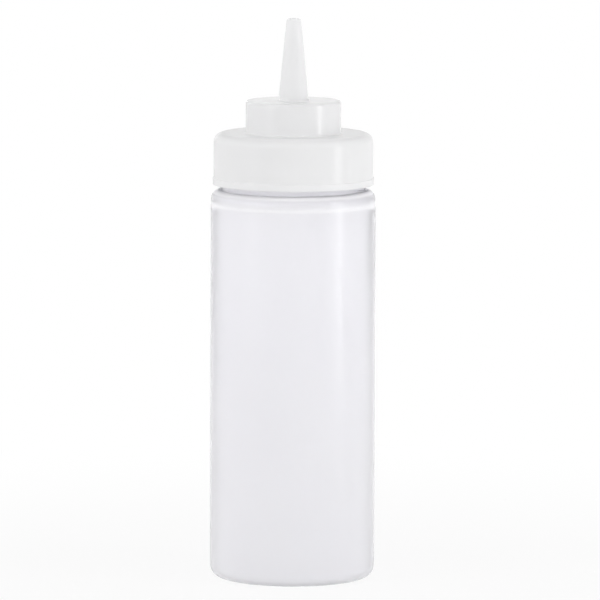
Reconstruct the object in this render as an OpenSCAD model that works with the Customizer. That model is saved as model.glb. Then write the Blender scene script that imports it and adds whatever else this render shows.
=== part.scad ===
// A wide-neck squeeze bottle for sauce, with a screw cap and a fixed pouring nozzle.
// It stands on the table at z = 0, with its axis on Z. Every piece is a body of revolution,
// so each is drawn as half of its section, with x as the radius and y as the height.

/* [Bottle body] */
// Outer diameter of the body
body_d = 72; // [66:0.5:90]
// Height of the shoulder above the table
body_h = 170; // [100:0.1:220]
// Thickness of the body wall, thin enough to squeeze
body_wall = 1.2; // [0.8:0.1:2]
// Thickness of the floor
floor_t = 1.4; // [1:0.1:3]
// Outer radius of the heel, where the side turns under
heel_r = 5; // [2:0.25:8]
// Outer radius of the shoulder
shoulder_r = 4; // [2:0.25:5]
// Width of the flat ring that the bottle stands on
standing_ring = 4; // [2:0.25:8]
// Height of the hollow under the floor, at its centre
push_up = 3; // [1:0.25:6]

/* [Neck] */
// Outer diameter of the neck, without its thread
neck_d = 62; // [50:0.5:63]
// Height of the neck above the shoulder
neck_h = 21.7; // [14:0.1:30]
// Thickness of the neck wall
neck_wall = 1.8; // [1.2:0.1:3]
// Rounding of the rim's two edges
rim_r = 0.5; // [0.2:0.1:0.6]
// Fillet between the neck and the shoulder
neck_fillet = 0.6; // [0.2:0.1:0.9]

/* [Cap] */
// Room for the thread between the neck and the cap, on each side
thread_room = 2.15; // [1.2:0.05:4]
// Thickness of the skirt
skirt_wall = 1.6; // [1:0.1:3]
// Gap between the shoulder and the lower edge of the skirt, with the cap tight
skirt_gap = 2.4; // [0.8:0.1:4]
// Thickness of the deck, the cap's flat top
deck_t = 1.8; // [1:0.1:3]
// Rounding of the cap's upper edge
cap_edge_r = 4.2; // [1.5:0.1:6]
// Rounding of the corner inside the cap, above the thread
cap_inner_r = 1.2; // [0.3:0.1:1.6]
// Height of the bead round the skirt's lower edge
bead_h = 3; // [1.5:0.1:6]
// How far the bead stands out of the skirt
bead_out = 0.35; // [0.2:0.05:1]

/* [Seal] */
// Thickness of the soft sealing ring on the rim
seal_t = 1.4; // [0.8:0.1:3]
// How far the sealing ring reaches past the outside of the neck
seal_over = 0.5; // [0:0.1:1]
// Thickness of the plug fin, which centres the cap in the neck
fin_t = 1.1; // [0.8:0.1:2]
// How deep the plug fin reaches below the deck
fin_depth = 5.5; // [3:0.1:10]
// Clearance between the plug fin and the neck, on each side
fin_gap = 0.3; // [0.2:0.05:0.6]

/* [Boss] */
// Outer diameter of the boss, the drum that carries the nozzle
boss_d = 41.6; // [24:0.1:48]
// Height of the boss above the deck
boss_h = 14; // [6:0.1:25]
// Thickness of the boss wall and of its top
boss_wall = 1.8; // [1:0.1:3]
// Rounding of the boss's upper edge
boss_edge_r = 1; // [0.4:0.1:2]
// Fillet between the boss and the deck
boss_fillet = 0.8; // [0.3:0.1:2]

/* [Nozzle] */
// Outer diameter of the nozzle where it leaves the boss
nozzle_d = 13.2; // [10:0.1:20]
// Outer diameter of the nozzle at its tip
tip_d = 6.2; // [5.5:0.1:9]
// Height of the nozzle above the boss
nozzle_h = 35.7; // [15:0.1:60]
// Thickness of the nozzle wall at its root
nozzle_wall = 1.6; // [1:0.1:2.5]
// Diameter of the outlet
outlet_d = 3; // [1.5:0.1:3.4]
// Length of the outlet's straight part
outlet_l = 3; // [1:0.1:8]
// Rounding of the tip's outer edge
tip_r = 1.1; // [0.3:0.1:1.2]
// Fillet between the nozzle and the boss
nozzle_fillet = 0.9; // [0.3:0.1:3]

/* [Hidden] */
$fn = 128;
// How far a cut runs past the face that it opens
past = 1;
// Steps in each small arc of the nozzle
arc_steps = 10;

// Body and neck
body_r = body_d / 2;
neck_r = neck_d / 2;
mouth_r = neck_r - neck_wall;
rim_z = body_h + neck_h;
dome_edge_r = body_r - heel_r - standing_ring;
// Radius of the sphere that the underside of the floor belongs to
dome_r = (pow(dome_edge_r, 2) + pow(push_up, 2)) / (2 * push_up);
inner_heel_r = max(heel_r - body_wall, 0.4);
inner_shoulder_r = max(shoulder_r - body_wall, 0.4);

// Cap, built up from the rim that it closes
skirt_in_r = neck_r + thread_room;
skirt_r = skirt_in_r + skirt_wall;
skirt_z = body_h + skirt_gap;
seal_z = rim_z;
deck_low_z = seal_z + seal_t;
deck_z = deck_low_z + deck_t;
fin_r = mouth_r - fin_gap;
// Lead-in of the plug fin's lower edge
fin_taper = fin_t / 2;
seal_in_r = mouth_r;
seal_out_r = neck_r + seal_over;
seal_edge_r = seal_t / 5;
inner_edge_r = min(cap_inner_r, skirt_in_r - seal_out_r);

// Boss and nozzle
boss_r = boss_d / 2;
boss_in_r = boss_r - boss_wall;
boss_z = deck_z + boss_h;
boss_in_z = boss_z - boss_wall;
tip_z = boss_z + nozzle_h;
// Lean of the nozzle's side
nozzle_lean = atan((nozzle_d - tip_d) / 2 / nozzle_h);
outlet_z = tip_z - outlet_l;

// Outer radius of the nozzle at a height
function nozzle_r(z) = tip_d / 2 + (tip_z - z) * tan(nozzle_lean);

// Points along an arc, from one angle to another
function arc(centre, r, from, to) =
    [for (i = [0 : arc_steps]) centre + r * unit(from + (to - from) * i / arc_steps)];
function unit(angle) = [cos(angle), sin(angle)];

// Half section of a round block with rounded lower and upper outer edges
module block_section(r, z0, z1, low_r, high_r) {
    difference() {
        translate([0, z0])
            square([r, z1 - z0]);
        translate([r, z0])
            mirror([1, 0])
                edge_cut(low_r);
        translate([r, z1])
            rotate(180)
                edge_cut(high_r);
    }
}

// What rounding takes off a corner at the origin whose material is at +x and +y
module edge_cut(r) {
    if (r > 0)
        difference() {
            translate([-past, -past])
                square(r + past);
            translate([r, r])
                circle(r);
        }
}

// What a fillet adds in a corner at the origin, between a floor and a wall on its left
module fillet_section(r) {
    difference() {
        square(r);
        translate([r, r])
            circle(r);
    }
}

module bottle_section() {
    difference() {
        union() {
            block_section(body_r, 0, body_h, heel_r, shoulder_r);
            translate([0, body_h - shoulder_r])
                block_section(neck_r, 0, neck_h + shoulder_r, 0, rim_r);
            translate([neck_r, body_h])
                fillet_section(neck_fillet);
        }
        bottle_hollow();
        // Hollow under the floor
        intersection() {
            translate([0, push_up - dome_r])
                circle(dome_r);
            translate([0, -past])
                square([body_r, push_up + past]);
        }
    }
}

// Half section of the space inside the bottle
module bottle_hollow() {
    difference() {
        block_section(
            body_r - body_wall, floor_t, body_h - body_wall, inner_heel_r, inner_shoulder_r
        );
        translate([0, push_up - dome_r])
            circle(dome_r + floor_t);
    }
    translate([0, body_h - body_wall - past])
        square([mouth_r, neck_h + body_wall + 2 * past]);
    // The wall turns from the shoulder into the neck, and round the rim's inner edge
    translate([mouth_r, body_h - body_wall])
        edge_cut(neck_fillet + body_wall / 2);
    translate([mouth_r, rim_z])
        mirror([0, 1])
            edge_cut(rim_r);
}

module bottle() {
    color([0.94, 0.94, 0.96, 0.8])
        rotate_extrude()
            bottle_section();
}

module seal_ring() {
    color([0.86, 0.87, 0.89])
        rotate_extrude()
            difference() {
                block_section(
                    seal_out_r, seal_z, seal_z + seal_t, seal_edge_r, seal_edge_r
                );
                translate([0, seal_z - past])
                    square([seal_in_r, seal_t + 2 * past]);
            }
}

// Half section of the nozzle's outside. Its straight side runs from the root fillet to the
// rounding of the tip, and touches both.
module nozzle_section() {
    root_z = boss_z + nozzle_fillet;
    root_centre = [nozzle_r(root_z) + nozzle_fillet / cos(nozzle_lean), root_z];
    tip_centre = [nozzle_r(tip_z - tip_r) - tip_r / cos(nozzle_lean), tip_z - tip_r];
    polygon(concat(
        [[0, boss_in_z], [root_centre.x, boss_in_z]],
        arc(root_centre, nozzle_fillet, 270, 180 + nozzle_lean),
        arc(tip_centre, tip_r, nozzle_lean, 90),
        [[0, tip_z]]
    ));
}

// Half section of the way that the sauce takes through the nozzle
module nozzle_bore() {
    polygon([
        [0, boss_in_z - past],
        [nozzle_d / 2 - nozzle_wall, boss_in_z - past],
        [nozzle_d / 2 - nozzle_wall, boss_in_z],
        [outlet_d / 2, outlet_z],
        [outlet_d / 2, tip_z + past],
        [0, tip_z + past]
    ]);
}

// Half section of the plug fin, with its lead-in
module fin_section() {
    low_z = deck_low_z - fin_depth;
    polygon([
        [fin_r - fin_t, deck_low_z + deck_t / 2],
        [fin_r - fin_t, low_z],
        [fin_r - fin_taper, low_z],
        [fin_r, low_z + 2 * fin_taper],
        [fin_r, deck_low_z + deck_t / 2]
    ]);
}

module cap_section() {
    difference() {
        union() {
            block_section(skirt_r, skirt_z, deck_z, bead_out, cap_edge_r);
            block_section(
                skirt_r + bead_out, skirt_z, skirt_z + bead_h, bead_out, bead_out
            );
            block_section(boss_r, deck_low_z, boss_z, 0, boss_edge_r);
            translate([boss_r, deck_z])
                fillet_section(boss_fillet);
            nozzle_section();
        }
        translate([0, skirt_z - past])
            block_section(skirt_in_r, 0, deck_low_z - skirt_z + past, 0, inner_edge_r);
        translate([0, deck_low_z - past])
            block_section(
                boss_in_r, 0, boss_in_z - deck_low_z + past, 0, boss_edge_r
            );
        nozzle_bore();
    }
    fin_section();
}

module cap() {
    color([0.93, 0.93, 0.94, 0.85])
        rotate_extrude()
            cap_section();
}

bottle();
seal_ring();
cap();
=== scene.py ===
# A wide-neck squeeze bottle for sauce in milky plastic, with a screw cap and a pouring nozzle.
# The bottle and the cap are turned from drawn sections by one Geometry Nodes tree, which also
# cuts their threads. Sections are in millimetres, everything in the scene is in metres.
import math
import bpy
import bmesh
from mathutils import Euler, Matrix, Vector


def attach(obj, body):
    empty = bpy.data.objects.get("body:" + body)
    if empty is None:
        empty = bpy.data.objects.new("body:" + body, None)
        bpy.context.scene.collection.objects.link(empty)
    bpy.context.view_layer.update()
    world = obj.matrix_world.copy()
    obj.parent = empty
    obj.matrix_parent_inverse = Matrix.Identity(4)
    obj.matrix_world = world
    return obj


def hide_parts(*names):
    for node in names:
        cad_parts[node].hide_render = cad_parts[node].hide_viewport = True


mm = 0.001
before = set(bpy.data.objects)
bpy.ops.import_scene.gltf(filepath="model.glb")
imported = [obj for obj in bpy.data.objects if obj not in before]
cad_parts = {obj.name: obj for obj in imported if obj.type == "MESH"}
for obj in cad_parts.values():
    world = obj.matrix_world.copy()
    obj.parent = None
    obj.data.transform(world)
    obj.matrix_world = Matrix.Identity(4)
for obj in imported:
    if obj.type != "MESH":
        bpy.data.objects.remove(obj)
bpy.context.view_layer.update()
print("frame loaded:", sorted(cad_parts))


def addToScene(name, data):
    item = bpy.data.objects.new(name, data)
    bpy.context.scene.collection.objects.link(item)
    return item


camera = {
    "place": (0.0031, -3.0, 0.4855),
    "pitchDown": 6.918,   # degrees
    "roll": 0.2,          # degrees, because the photo's bottle leans a little to the right
    "lens": 415.57,
    "sensor": 36.0,
    "clipStart": 0.05,
    "clipEnd": 60,
}


def addCamera(c):
    data = bpy.data.cameras.new("camera")
    data.lens = c["lens"]
    data.sensor_width = c["sensor"]
    data.clip_start, data.clip_end = c["clipStart"], c["clipEnd"]
    eye = addToScene("camera", data)
    eye.location = c["place"]
    turn = Euler((math.radians(90 - c["pitchDown"]), 0, 0)).to_matrix()
    spin = Euler((0, 0, math.radians(c["roll"]))).to_matrix()
    eye.rotation_euler = (turn @ spin).to_euler()
    bpy.context.scene.camera = eye


addCamera(camera)
bpy.context.scene.view_settings.view_transform = "Standard"
print("camera set")


# Helpers for all node trees. A value is a socket to link, or a plain number, colour or name.
def feed(tree, socket, value):
    if isinstance(value, bpy.types.NodeSocket):
        tree.links.new(value, socket)
    else:
        socket.default_value = value


def addNode(tree, kind, inputs=None, **settings):
    node = tree.nodes.new(kind)
    for name, value in settings.items():
        setattr(node, name, value)
    for key, value in (inputs or {}).items():
        feed(tree, node.inputs[key], value)
    return node


def calc(tree, operation, *values):
    node = tree.nodes.new("ShaderNodeMath")
    node.operation = operation
    for socket, value in zip(node.inputs, values):
        feed(tree, socket, value)
    return node.outputs[0]


def ramp(tree, value, start, end, low=0.0, high=1.0):
    node = addNode(tree, "ShaderNodeMapRange", {
        "Value": value, "From Min": start, "From Max": end, "To Min": low, "To Max": high,
    }, interpolation_type="SMOOTHSTEP")
    return node.outputs["Result"]


def newMaterial(name):
    material = bpy.data.materials.new(name)
    material.use_nodes = True
    material.node_tree.nodes.clear()
    return material


stage = {
    "floorSize": 40.0,
    "floorColour": (0.84, 0.84, 0.84, 1),
    "whiteNear": 0.88,     # how much of the floor by the bottle is plain white to the camera
    "fadeStart": 0.06,     # metres from the axis: from here the floor turns to plain white
    "fadeEnd": 0.4,
    "walls": 2.0,          # light from the level of the bottle
    "ceiling": 0.6,        # light from above
    "leftWall": 1.12,      # what shines through the plastic from the left
    "rightWall": 0.6,      # and from the right
    # The rest are parts of a direction, where 1 is straight up, to the side or behind
    "wallTop": 0.3,        # up to here the walls' light fades into the ceiling's
    "sideways": 0.6,       # from here outwards the left wall or the right one shines alone
    "behindStart": 0.8,    # from here the light behind turns to plain white
    "behindFull": 0.98,
}


def seenByEye(tree):
    path = addNode(tree, "ShaderNodeLightPath")
    seen = calc(tree, "MAXIMUM", path.outputs["Is Camera Ray"], path.outputs["Is Glossy Ray"])
    return calc(tree, "MAXIMUM", seen, path.outputs["Is Transmission Ray"])


def floorMaterial(s):
    material = newMaterial("floorPaper")
    tree = material.node_tree
    place = addNode(tree, "ShaderNodeTexCoord").outputs["Object"]
    away = addNode(tree, "ShaderNodeVectorMath", {0: place}, operation="LENGTH").outputs["Value"]
    white = ramp(tree, away, s["fadeStart"], s["fadeEnd"], s["whiteNear"], 1.0)
    paper = addNode(tree, "ShaderNodeBsdfDiffuse", {"Color": s["floorColour"]})
    glow = addNode(tree, "ShaderNodeEmission", {"Color": (1, 1, 1, 1), "Strength": 1.0})
    mixed = addNode(tree, "ShaderNodeMixShader", {
        0: calc(tree, "MULTIPLY", white, seenByEye(tree)),
        1: paper.outputs[0], 2: glow.outputs[0],
    })
    addNode(tree, "ShaderNodeOutputMaterial", {"Surface": mixed.outputs[0]})
    return material


def addFloor(s):
    half = s["floorSize"] / 2
    mesh = bpy.data.meshes.new("floor")
    mesh.from_pydata([(-half, -half, 0), (half, -half, 0), (half, half, 0), (-half, half, 0)],
                     [], [(0, 1, 2, 3)])
    mesh.materials.append(floorMaterial(s))
    floor = addToScene("floor", mesh)


def lightWorld(s):
    world = bpy.data.worlds.new("studio")
    bpy.context.scene.world = world
    world.use_nodes = True
    tree = world.node_tree
    tree.nodes.clear()
    way = addNode(tree, "ShaderNodeTexCoord").outputs["Generated"]
    split = addNode(tree, "ShaderNodeSeparateXYZ", {0: way}).outputs
    soft = ramp(tree, split["Z"], 0.0, s["wallTop"], s["walls"], s["ceiling"])
    beside = ramp(tree, split["X"], -s["sideways"], s["sideways"], s["leftWall"], s["rightWall"])
    through = ramp(tree, split["Y"], s["behindStart"], s["behindFull"], beside, 1.0)
    path = addNode(tree, "ShaderNodeLightPath").outputs
    seen = calc(tree, "MAXIMUM", path["Is Camera Ray"], through)
    strength = addNode(tree, "ShaderNodeMapRange", {
        "Value": seenByEye(tree), "To Min": soft, "To Max": seen,
    }).outputs["Result"]
    sky = addNode(tree, "ShaderNodeBackground", {"Color": (1, 1, 1, 1), "Strength": strength})
    addNode(tree, "ShaderNodeOutputWorld", {"Surface": sky.outputs[0]})


lamps = {
    # name: (place, aim, size, watts)
    "sideStrip": ((0.64, -0.285, 0.36), (0, 0, 0.3), (0.13, 0.7), 1.3),
    "leftFill": ((-1.2, -0.75, 0.6), (0, 0, 0.14), (0.4, 1.2), 3.4),
    "overhead": ((-0.1, -0.2, 1.5), (0, 0, 0.12), (1.2, 1.2), 2.0),
}


def addLamp(name, place, aim, size, watts):
    data = bpy.data.lights.new(name, "AREA")
    data.shape = "RECTANGLE"
    data.size, data.size_y = size
    data.energy = watts
    lamp = addToScene(name, data)
    lamp.location = place
    lamp.visible_camera = False
    lamp.rotation_euler = (Vector(aim) - Vector(place)).to_track_quat("-Z", "Y").to_euler()


addFloor(stage)
lightWorld(stage)
for lampName, lampSettings in lamps.items():
    addLamp(lampName, *lampSettings)
print("floor and lamps set")


# A section is a list of corners: radius, height, rounding, the longest step along the straight
# to the next corner, and the kinds of wall that this straight belongs to.
drawing = {
    "arcStep": 7.5,        # degrees between the points of a rounding
    "fewestSteps": 3,      # in each rounding
    "samePoint": 1e-4,     # mm: points closer than this are one
    "slack": 1e-6,         # steps: a straight this little too long gets no further point
    # Longest steps in mm
    "thread": 0.25, "fine": 0.4, "close": 1, "ring": 1.5, "cap": 2, "plain": 3, "wall": 4,
}
wallNames = ("threadWall", "blownWall", "baseWall")


def roundCorner(here, previous, following, rounding):
    before, after = previous - here, following - here
    half = before.angle(after) / 2
    before, after = before.normalized(), after.normalized()
    reach = rounding / math.tan(half)
    middle = here + (before + after).normalized() * rounding / math.sin(half)
    first = here + before * reach - middle
    last = here + after * reach - middle
    turn = first.angle_signed(last)
    steps = max(drawing["fewestSteps"],
                math.ceil(abs(turn) / math.radians(drawing["arcStep"])))
    points = []
    for k in range(steps + 1):
        angle = -turn * k / steps
        points.append(middle + Vector((
            first.x * math.cos(angle) - first.y * math.sin(angle),
            first.x * math.sin(angle) + first.y * math.cos(angle))))
    return points


def roundedSection(corners, closed):
    count = len(corners)
    spots = [Vector(corner[:2]) for corner in corners]
    bends = []
    for i, (spot, corner) in enumerate(zip(spots, corners)):
        isEnd = not closed and i in (0, count - 1)
        if isEnd or corner[2] == 0:
            bends.append([spot])
        else:
            bends.append(roundCorner(spot, spots[i - 1], spots[(i + 1) % count], corner[2]))
    points = []   # place, walls
    for i, bend in enumerate(bends):
        step, walls = corners[i][3:]
        points += [(p, corners[i - 1][4]) for p in bend[:-1]]
        points.append((bend[-1], walls))
        if not closed and i == count - 1:
            break
        start, end = bend[-1], bends[(i + 1) % count][0]
        pieces = max(1, math.ceil((end - start).length / step - drawing["slack"]))
        for k in range(1, pieces):
            points.append((start.lerp(end, k / pieces), walls))
    if closed:
        points.append(points[0])
    clean = [points[0]]
    for p, walls in points[1:]:
        if (p - clean[-1][0]).length > drawing["samePoint"]:
            clean.append((p, walls))
    return clean


def drawSection(name, section):
    mesh = bpy.data.meshes.new(name)
    mesh.from_pydata([(p.x * mm, 0, p.y * mm) for p, _ in section],
                     [(i, i + 1) for i in range(len(section) - 1)], [])
    for wall in wallNames:
        marks = mesh.attributes.new(wall, "FLOAT", "POINT")
        marks.data.foreach_set("value", [1.0 if wall in walls else 0.0 for _, walls in section])
    return addToScene(name, mesh)


treeInputs = (
    # name, socket type, start value
    ("Segments", "NodeSocketInt", 240),
    ("Bunching", "NodeSocketFloat", 0.0),
    ("Thread Foot", "NodeSocketFloat", 0.0),
    ("Pitch", "NodeSocketFloat", 1.0),
    ("Ridge Height", "NodeSocketFloat", 0.0),
    ("Crest Width", "NodeSocketFloat", 0.1),
    ("Root Width", "NodeSocketFloat", 0.2),
    ("First Turn", "NodeSocketFloat", 0.0),
    ("Last Turn", "NodeSocketFloat", 1.0),
    ("Fade", "NodeSocketFloat", 0.1),
    ("Wave Depth", "NodeSocketFloat", 0.0),
    ("Wave Size", "NodeSocketFloat", 0.05),
    ("Wave Scale", "NodeSocketFloat", 1.3),
    ("Seam Height", "NodeSocketFloat", 0.0),
    ("Seam Width", "NodeSocketFloat", 0.001),
    ("Weld Height", "NodeSocketFloat", 0.0),
    ("Weld Width", "NodeSocketFloat", 0.002),
    ("Weld Reach", "NodeSocketFloat", 0.02),
    ("Weld Full", "NodeSocketFloat", 0.8),
    ("Merge Distance", "NodeSocketFloat", 2e-6),
    ("Plastic", "NodeSocketMaterial", None),
)


def turningTree():
    tree = bpy.data.node_groups.new("turning", "GeometryNodeTree")
    tree.interface.new_socket("Geometry", in_out="INPUT", socket_type="NodeSocketGeometry")
    for name, kind, start in treeInputs:
        socket = tree.interface.new_socket(name, in_out="INPUT", socket_type=kind)
        if start is not None:
            socket.default_value = start
    tree.interface.new_socket("Geometry", in_out="OUTPUT", socket_type="NodeSocketGeometry")
    given = addNode(tree, "NodeGroupInput").outputs
    section = given["Geometry"]

    def plus(a, b):
        return calc(tree, "ADD", a, b)

    def minus(a, b):
        return calc(tree, "SUBTRACT", a, b)

    def times(a, b):
        return calc(tree, "MULTIPLY", a, b)

    def over(a, b):
        return calc(tree, "DIVIDE", a, b)

    def size(a):
        return calc(tree, "ABSOLUTE", a)

    # A grid with one row for each point of the section and one column for each segment
    rows = addNode(tree, "GeometryNodeAttributeDomainSize", {"Geometry": section}).outputs[0]
    grid = addNode(tree, "GeometryNodeMeshGrid", {
        "Vertices X": plus(given["Segments"], 1.0), "Vertices Y": rows,
    }).outputs["Mesh"]
    index = addNode(tree, "GeometryNodeInputIndex").outputs[0]
    column = calc(tree, "FLOOR", over(plus(index, 0.5), rows))
    row = minus(index, times(column, rows))

    def fromSection(kind, value):
        return addNode(tree, "GeometryNodeSampleIndex", {
            "Geometry": section, "Value": value, "Index": row,
        }, data_type=kind).outputs[0]

    def wall(name):
        marks = addNode(tree, "GeometryNodeInputNamedAttribute", {"Name": name},
                        data_type="FLOAT")
        return fromSection("FLOAT", marks.outputs["Attribute"])

    spot = addNode(tree, "GeometryNodeInputPosition").outputs[0]
    drawn = addNode(tree, "ShaderNodeSeparateXYZ", {0: fromSection("FLOAT_VECTOR", spot)})
    radius, height = drawn.outputs["X"], drawn.outputs["Z"]

    # The columns bunch up at the two mould seams, so that the fine line there is sharp
    even = times(over(column, given["Segments"]), math.tau)
    pull = times(calc(tree, "SINE", times(even, 2.0)), times(given["Bunching"], 0.5))
    angle = minus(even, pull)
    cosine, sine = calc(tree, "COSINE", angle), calc(tree, "SINE", angle)
    turned = over(angle, math.tau)

    # Thread: how far the point is from the nearest turn of the helix
    climb = over(minus(height, given["Thread Foot"]), given["Pitch"])
    phase = minus(climb, turned)
    nearest = calc(tree, "ROUND", phase)
    off = times(size(minus(phase, nearest)), given["Pitch"])
    turnNow = plus(nearest, turned)
    ridge = ramp(tree, off, times(given["Crest Width"], 0.5), times(given["Root Width"], 0.5),
                 1.0, 0.0)
    starts = ramp(tree, turnNow, given["First Turn"], plus(given["First Turn"], given["Fade"]))
    stops = ramp(tree, turnNow, minus(given["Last Turn"], given["Fade"]), given["Last Turn"],
                 1.0, 0.0)
    thread = times(ridge, times(starts, stops))
    thread = times(thread, given["Ridge Height"])
    thread = times(thread, wall("threadWall"))

    # Blown wall: slow dents, all inwards, and the seam of the mould's two halves
    around = addNode(tree, "ShaderNodeCombineXYZ", {
        "X": cosine, "Y": sine, "Z": over(height, given["Wave Size"]),
    }).outputs[0]
    dents = addNode(tree, "ShaderNodeTexNoise", {
        "Vector": around, "Scale": given["Wave Scale"], "Detail": 1.0,
    }, noise_dimensions="3D").outputs[0]
    dent = times(dents, times(given["Wave Depth"], -1.0))
    fromSeam = size(times(sine, radius))
    seam = ramp(tree, fromSeam, 0.0, given["Seam Width"], 0.0, -1.0)
    seam = times(seam, given["Seam Height"])
    blown = times(plus(dent, seam), wall("blownWall"))

    # Weld across the base, where the mould pinched the tube shut
    along = size(times(cosine, radius))
    weld = ramp(tree, fromSeam, 0.0, given["Weld Width"], -1.0, 0.0)
    reach = ramp(tree, along, times(given["Weld Reach"], given["Weld Full"]),
                 given["Weld Reach"], 1.0, 0.0)
    weld = times(times(weld, reach), times(given["Weld Height"], wall("baseWall")))

    outward = plus(radius, plus(thread, blown))
    place = addNode(tree, "ShaderNodeCombineXYZ", {
        "X": times(outward, cosine), "Y": times(outward, sine), "Z": plus(height, weld),
    }).outputs[0]
    moved = addNode(tree, "GeometryNodeSetPosition", {
        "Geometry": grid, "Position": place}).outputs[0]
    closed = addNode(tree, "GeometryNodeMergeByDistance", {
        "Geometry": moved, "Distance": given["Merge Distance"]}).outputs[0]
    smooth = addNode(tree, "GeometryNodeSetShadeSmooth", {"Geometry": closed}).outputs[0]
    real = addNode(tree, "GeometryNodeRealizeInstances", {"Geometry": smooth}).outputs[0]
    coated = addNode(tree, "GeometryNodeSetMaterial", {
        "Geometry": real, "Material": given["Plastic"]}).outputs[0]
    addNode(tree, "NodeGroupOutput", {"Geometry": coated})
    return tree


sharpFrom = 38   # degrees between two faces


def turnPiece(name, section, settings, tree):
    outline = drawSection(name + "Section", section)
    modifier = outline.modifiers.new("turning", "NODES")
    modifier.node_group = tree
    keys = {item.name: item.identifier for item in tree.interface.items_tree
            if item.in_out == "INPUT"}
    for label, value in settings.items():
        modifier[keys[label]] = value
    dg = bpy.context.evaluated_depsgraph_get()
    mesh = bpy.data.meshes.new_from_object(outline.evaluated_get(dg), depsgraph=dg)
    outline.modifiers.clear()
    bpy.data.objects.remove(outline)
    mesh.name = name
    shape = bmesh.new()
    shape.from_mesh(mesh)
    bmesh.ops.recalc_face_normals(shape, faces=shape.faces)
    openEdges = sum(1 for e in shape.edges if len(e.link_faces) != 2)
    shape.to_mesh(mesh)
    shape.free()
    mesh.set_sharp_from_angle(angle=math.radians(sharpFrom))
    piece = addToScene(name, mesh)
    print(name, "faces", len(mesh.polygons), "open edges", openEdges,
          "size mm", [round(v / mm, 2) for v in piece.dimensions])
    return piece


noiseRange = (0.32, 0.68)   # most of a noise lies between these
plainIor = 1.5


def spread(tree, value, low, high):
    return ramp(tree, value, *noiseRange, low, high)


def mixColours(tree, factor, first, second):
    node = tree.nodes.new("ShaderNodeMix")
    node.data_type = "RGBA"
    sockets = [s for s in node.inputs if s.enabled]
    for socket, value in zip(sockets, (factor, first, second)):
        feed(tree, socket, value)
    return [s for s in node.outputs if s.enabled][0]


# Clearness and coat are lists of height in mm and amount, with soft ramps between them
def milkyPlastic(name, m):
    material = newMaterial(name)
    tree = material.node_tree
    place = addNode(tree, "ShaderNodeTexCoord").outputs["Object"]
    height = addNode(tree, "ShaderNodeSeparateXYZ", {0: place}).outputs["Z"]

    def noise(scale, detail, stretch=(1, 1, 1)):
        moved = addNode(tree, "ShaderNodeMapping", {"Vector": place, "Scale": stretch})
        return addNode(tree, "ShaderNodeTexNoise", {
            "Vector": moved.outputs[0], "Scale": scale, "Detail": detail}).outputs[0]

    def byHeight(steps):
        total = steps[0][1]
        for (start, low), (end, high) in zip(steps, steps[1:]):
            if low != high:
                step = ramp(tree, height, start * mm, end * mm, 0, high - low)
                total = calc(tree, "ADD", total, step)
        return total

    cloud = noise(m["cloudScale"], 2.0)
    streaks = noise(m["streakScale"], 3.0, m["streakStretch"])
    grain = noise(m["grainScale"], 2.0)
    milk = mixColours(tree, spread(tree, cloud, 0.0, 1.0), m["colour"], m["thin"])
    gloss = calc(tree, "ADD", spread(tree, streaks, -m["glossSpread"], m["glossSpread"]),
                 m["roughness"])
    relief = calc(tree, "ADD", calc(tree, "MULTIPLY", grain, m["grainDepth"]),
                  calc(tree, "MULTIPLY", streaks, m["streakDepth"]))
    bump = addNode(tree, "ShaderNodeBump", {"Height": relief, "Strength": 1.0, "Distance": 1.0})
    plastic = addNode(tree, "ShaderNodeBsdfPrincipled", {
        "Base Color": milk, "Roughness": gloss, "IOR": m["ior"],
        "Transmission Weight": byHeight(m["clear"]),
        "Coat Weight": byHeight(m["coat"]), "Coat Roughness": m["coatRoughness"],
        "Coat IOR": plainIor, "Normal": bump.outputs[0],
    })
    addNode(tree, "ShaderNodeOutputMaterial", {"Surface": plastic.outputs[0]})
    return material


bottle = {
    "radius": 36.0, "wall": 1.2, "height": 170.0, "heel": 5.0, "shoulder": 4.0,
    "floor": 1.4, "ring": 4.0, "pushUp": 3.0,
    # The line that the mould leaves under the shoulder
    "hip": 163.2, "hipStep": 0.2, "hipHeight": 1.2, "hipRounding": 0.4,
    "neckRadius": 31.0, "neckWall": 1.8, "neckHeight": 21.7, "neckFillet": 0.6, "rim": 0.5,
    # Radii of the rows under the base, close together on the axis and at the weld's end
    "underRadii": (0, 0.3, 0.6, 0.9, 1.2, 1.6, 2, 2.6, 3.4, 4.4, 5.6, 7, 8.6, 10.4, 12.4, 14.4,
                   16.4, 18.4, 19.2, 20, 20.8, 21.6, 22.4, 23.2, 24, 25, 26),
    # and of those on the floor inside
    "insideRadii": (27.15, 25, 22, 19, 16, 13, 10, 7, 4, 2, 0),
    "turning": {
        "Segments": 280, "Bunching": 0.6,
        "Thread Foot": 176.0 * mm, "Pitch": 4.2 * mm, "Ridge Height": 1.25 * mm,
        "Crest Width": 0.7 * mm, "Root Width": 2.2 * mm,
        "First Turn": 0.1, "Last Turn": 2.7, "Fade": 0.12,
        "Wave Depth": 0.08 * mm, "Wave Size": 45 * mm,
        "Seam Height": 0.07 * mm, "Seam Width": 0.45 * mm,
        "Weld Height": 0.55 * mm, "Weld Width": 0.9 * mm, "Weld Reach": 24 * mm,
    },
    "plastic": {
        "colour": (0.98, 0.977, 0.995, 1), "thin": (0.97, 0.967, 0.987, 1),
        "roughness": 0.7, "glossSpread": 0.03, "ior": 1.1,
        # Painted light and shade by height: less light passes lower down, so the lower body
        # renders darker. Almost none passes in a band at the hip line, which paints a light ring
        # there, or in a band on the shoulder's top, which paints light into the shade under the
        # cap.
        "clear": ((1, 0.5), (9, 0.52), (60, 0.54), (150, 0.74), (162, 0.74), (163.6, 0.1),
                  (164.6, 0.1), (166, 0.74), (168.3, 0.74), (168.7, 0.05), (169.8, 0.05),
                  (169.95, 0.88)),
        "coat": ((168.2, 0.7), (168.8, 0), (172.2, 0), (173, 0.7)), "coatRoughness": 0.25,
        "cloudScale": 30, "streakScale": 900, "streakStretch": (1, 1, 0.015),
        "grainScale": 900, "grainDepth": 0.00001, "streakDepth": 0.00001,
    },
}


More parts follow.
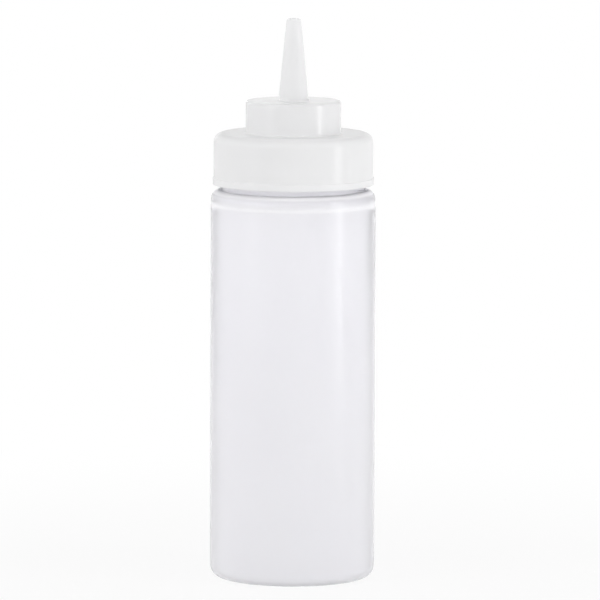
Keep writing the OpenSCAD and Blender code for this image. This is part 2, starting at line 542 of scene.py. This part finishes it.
def bottleCorners(b):
    domeEdge = b["radius"] - b["heel"] - b["ring"]
    sphere = (domeEdge ** 2 + b["pushUp"] ** 2) / (2 * b["pushUp"])

    def domeHeight(r, thickness):
        return b["pushUp"] - sphere + math.sqrt((sphere + thickness) ** 2 - r ** 2)

    inner, mouth = b["radius"] - b["wall"], b["neckRadius"] - b["neckWall"]
    top, rim = b["height"], b["height"] + b["neckHeight"]
    hipTop, hipRadius = b["hip"] + b["hipHeight"], b["radius"] - b["hipStep"]
    bend = b["neckFillet"] + b["wall"] / 2
    step, blown, wound = drawing, ("blownWall",), ("threadWall",)
    corners = [(r, domeHeight(r, 0), 0, step["plain"], ("baseWall",)) for r in b["underRadii"]]
    corners += [
        (domeEdge, 0, 0, step["ring"], blown),
        (b["radius"], 0, b["heel"], step["wall"], blown),
        (b["radius"], b["hip"], b["hipRounding"], step["fine"], ()),
        (hipRadius, hipTop, b["hipRounding"], step["close"], ()),
        (hipRadius, top, b["shoulder"], step["fine"], ()),
        (b["neckRadius"], top, b["neckFillet"], step["thread"], wound),
        (b["neckRadius"], rim, b["rim"], step["close"], ()),
        (mouth, rim, b["rim"], step["plain"], ()),
        (mouth, top - b["wall"], bend, step["close"], blown),
        (inner, top - b["wall"], b["shoulder"] - b["wall"], step["wall"], blown),
        (inner, b["floor"], b["heel"] - b["wall"], step["ring"], ()),
    ]
    corners += [(r, domeHeight(r, b["floor"]), 0, step["plain"], ()) for r in b["insideRadii"]]
    return corners


turning = turningTree()
bottlePlastic = milkyPlastic("bottlePlastic", bottle["plastic"])
bottlePiece = turnPiece("squeezeBottle", roundedSection(bottleCorners(bottle), closed=False),
                        dict(bottle["turning"], Plastic=bottlePlastic), turning)
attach(bottlePiece, "bottle_body")
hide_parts("bottle")


cap = {
    "inside": 33.15, "wall": 1.6, "foot": 172.4, "bead": 0.35, "beadHeight": 3.0,
    "deckLow": 193.1, "deck": 194.9, "edge": 4.2, "insideEdge": 1.2,
    "finOuter": 28.9, "finInner": 27.8, "finFoot": 187.6,
    "boss": 20.8, "bossInside": 19.0, "bossTop": 208.9, "bossCeiling": 207.1,
    "bossEdge": 1.0, "bossFillet": 0.8,
    "nozzle": 6.6, "nozzleInside": 5.0, "nozzleFillet": 0.9,
    "tip": 3.1, "tipEdge": 1.1, "tipTop": 244.6, "outlet": 1.5, "outletLow": 241.6,
    # Small roundings
    "footEdge": 0.25, "beadEdge": 0.22, "beadRoot": 0.12, "outletEdge": 0.15, "boreFoot": 0.4,
    "bossFoot": 0.4, "finInnerRoot": 0.25, "finInnerEdge": 0.2, "finEdge": 0.15,
    "finLeadIn": 0.6, "finOuterRoot": 0.2,
    "turning": {
        "Segments": 240, "Bunching": 0.0,
        "Thread Foot": 174.55 * mm, "Pitch": 4.2 * mm, "Ridge Height": -1.8 * mm,
        "Crest Width": 0.8 * mm, "Root Width": 2.4 * mm,
        "First Turn": 0.05, "Last Turn": 1.5, "Fade": 0.12,
    },
    "plastic": {
        "colour": (0.985, 0.985, 0.99, 1), "thin": (0.975, 0.975, 0.98, 1),
        "roughness": 0.45, "glossSpread": 0.03, "ior": 1.1,
        "clear": ((193, 0.2), (198, 0.3)),
        "coat": ((193, 0.45), (198, 0.8)), "coatRoughness": 0.18,
        "cloudScale": 30, "streakScale": 250, "streakStretch": (1, 1, 1),
        "grainScale": 900, "grainDepth": 0.00001, "streakDepth": 0.00001,
    },
}
# The nozzle lets more light through than the rest of the cap
cap["nozzlePlastic"] = dict(
    cap["plastic"], colour=(0.83, 0.825, 0.855, 1), thin=(0.81, 0.805, 0.835, 1),
    roughness=0.09, glossSpread=0.02, ior=1.48, clear=((0, 0.97),), coat=((0, 1.0),),
    coatRoughness=0.05)


def capCorners(c):
    outside, beadTop = c["inside"] + c["wall"], c["foot"] + c["beadHeight"]
    finMiddle, finThickness = (c["finInner"] + c["finOuter"]) / 2, c["finOuter"] - c["finInner"]
    step, wound = drawing, ("threadWall",)
    return [
        (c["inside"], c["foot"], c["footEdge"], step["close"], ()),
        (outside + c["bead"], c["foot"], c["bead"], step["cap"], ()),
        (outside + c["bead"], beadTop, c["beadEdge"], step["close"], ()),
        (outside, beadTop, c["beadRoot"], step["plain"], ()),
        (outside, c["deck"], c["edge"], step["cap"], ()),
        (c["boss"], c["deck"], c["bossFillet"], step["plain"], ()),
        (c["boss"], c["bossTop"], c["bossEdge"], step["cap"], ()),
        (c["nozzle"], c["bossTop"], c["nozzleFillet"], step["cap"], ()),
        (c["tip"], c["tipTop"], c["tipEdge"], step["close"], ()),
        (c["outlet"], c["tipTop"], c["outletEdge"], step["close"], ()),
        (c["outlet"], c["outletLow"], 0, step["cap"], ()),
        (c["nozzleInside"], c["bossCeiling"], c["boreFoot"], step["cap"], ()),
        (c["bossInside"], c["bossCeiling"], c["bossEdge"], step["plain"], ()),
        (c["bossInside"], c["deckLow"], c["bossFoot"], step["plain"], ()),
        (c["finInner"], c["deckLow"], c["finInnerRoot"], step["cap"], ()),
        (c["finInner"], c["finFoot"], c["finInnerEdge"], step["close"], ()),
        (finMiddle, c["finFoot"], c["finEdge"], step["close"], ()),
        (c["finOuter"], c["finFoot"] + finThickness, c["finLeadIn"], step["cap"], ()),
        (c["finOuter"], c["deckLow"], c["finOuterRoot"], step["cap"], ()),
        (c["inside"], c["deckLow"], c["insideEdge"], step["thread"], wound),
    ]


def dressNozzle(piece, c):
    piece.data.materials.append(milkyPlastic("nozzlePlastic", c["nozzlePlastic"]))
    # The nozzle ends halfway across the fillet at its root
    edge = (c["nozzle"] + c["nozzleFillet"] / 2) * mm
    for face in piece.data.polygons:
        if face.center.xy.length < edge:
            face.material_index = 1


capPlastic = milkyPlastic("capPlastic", cap["plastic"])
capPiece = turnPiece("screwCap", roundedSection(capCorners(cap), closed=True),
                     dict(cap["turning"], Plastic=capPlastic), turning)
dressNozzle(capPiece, cap)
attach(capPiece, "screw_cap")
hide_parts("cap")


seal = {
    "colour": (0.86, 0.87, 0.89, 1), "worn": (0.8, 0.81, 0.83, 1), "cloudScale": 220.0,
    "roughness": 0.62, "glossSpread": 0.06,
    "cellScale": 2600.0, "cellStrength": 0.6, "cellDepth": 0.00012,
}


def sealMaterial(s):
    material = newMaterial("sealFoam")
    tree = material.node_tree
    place = addNode(tree, "ShaderNodeTexCoord").outputs["Object"]
    cells = addNode(tree, "ShaderNodeTexVoronoi", {"Vector": place, "Scale": s["cellScale"]})
    cloud = addNode(tree, "ShaderNodeTexNoise", {
        "Vector": place, "Scale": s["cloudScale"], "Detail": 3.0}).outputs[0]
    bump = addNode(tree, "ShaderNodeBump", {
        "Height": cells.outputs["Distance"], "Strength": s["cellStrength"],
        "Distance": s["cellDepth"]})
    gloss = calc(tree, "ADD", spread(tree, cloud, -s["glossSpread"], s["glossSpread"]),
                 s["roughness"])
    foam = addNode(tree, "ShaderNodeBsdfPrincipled", {
        "Base Color": mixColours(tree, spread(tree, cloud, 0.0, 1.0), s["colour"], s["worn"]),
        "Roughness": gloss, "IOR": plainIor, "Normal": bump.outputs[0],
    })
    addNode(tree, "ShaderNodeOutputMaterial", {"Surface": foam.outputs[0]})
    return material


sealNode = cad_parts["seal_ring"]
sealNode.data.materials.clear()
sealNode.data.materials.append(sealMaterial(seal))
print("seal dressed")
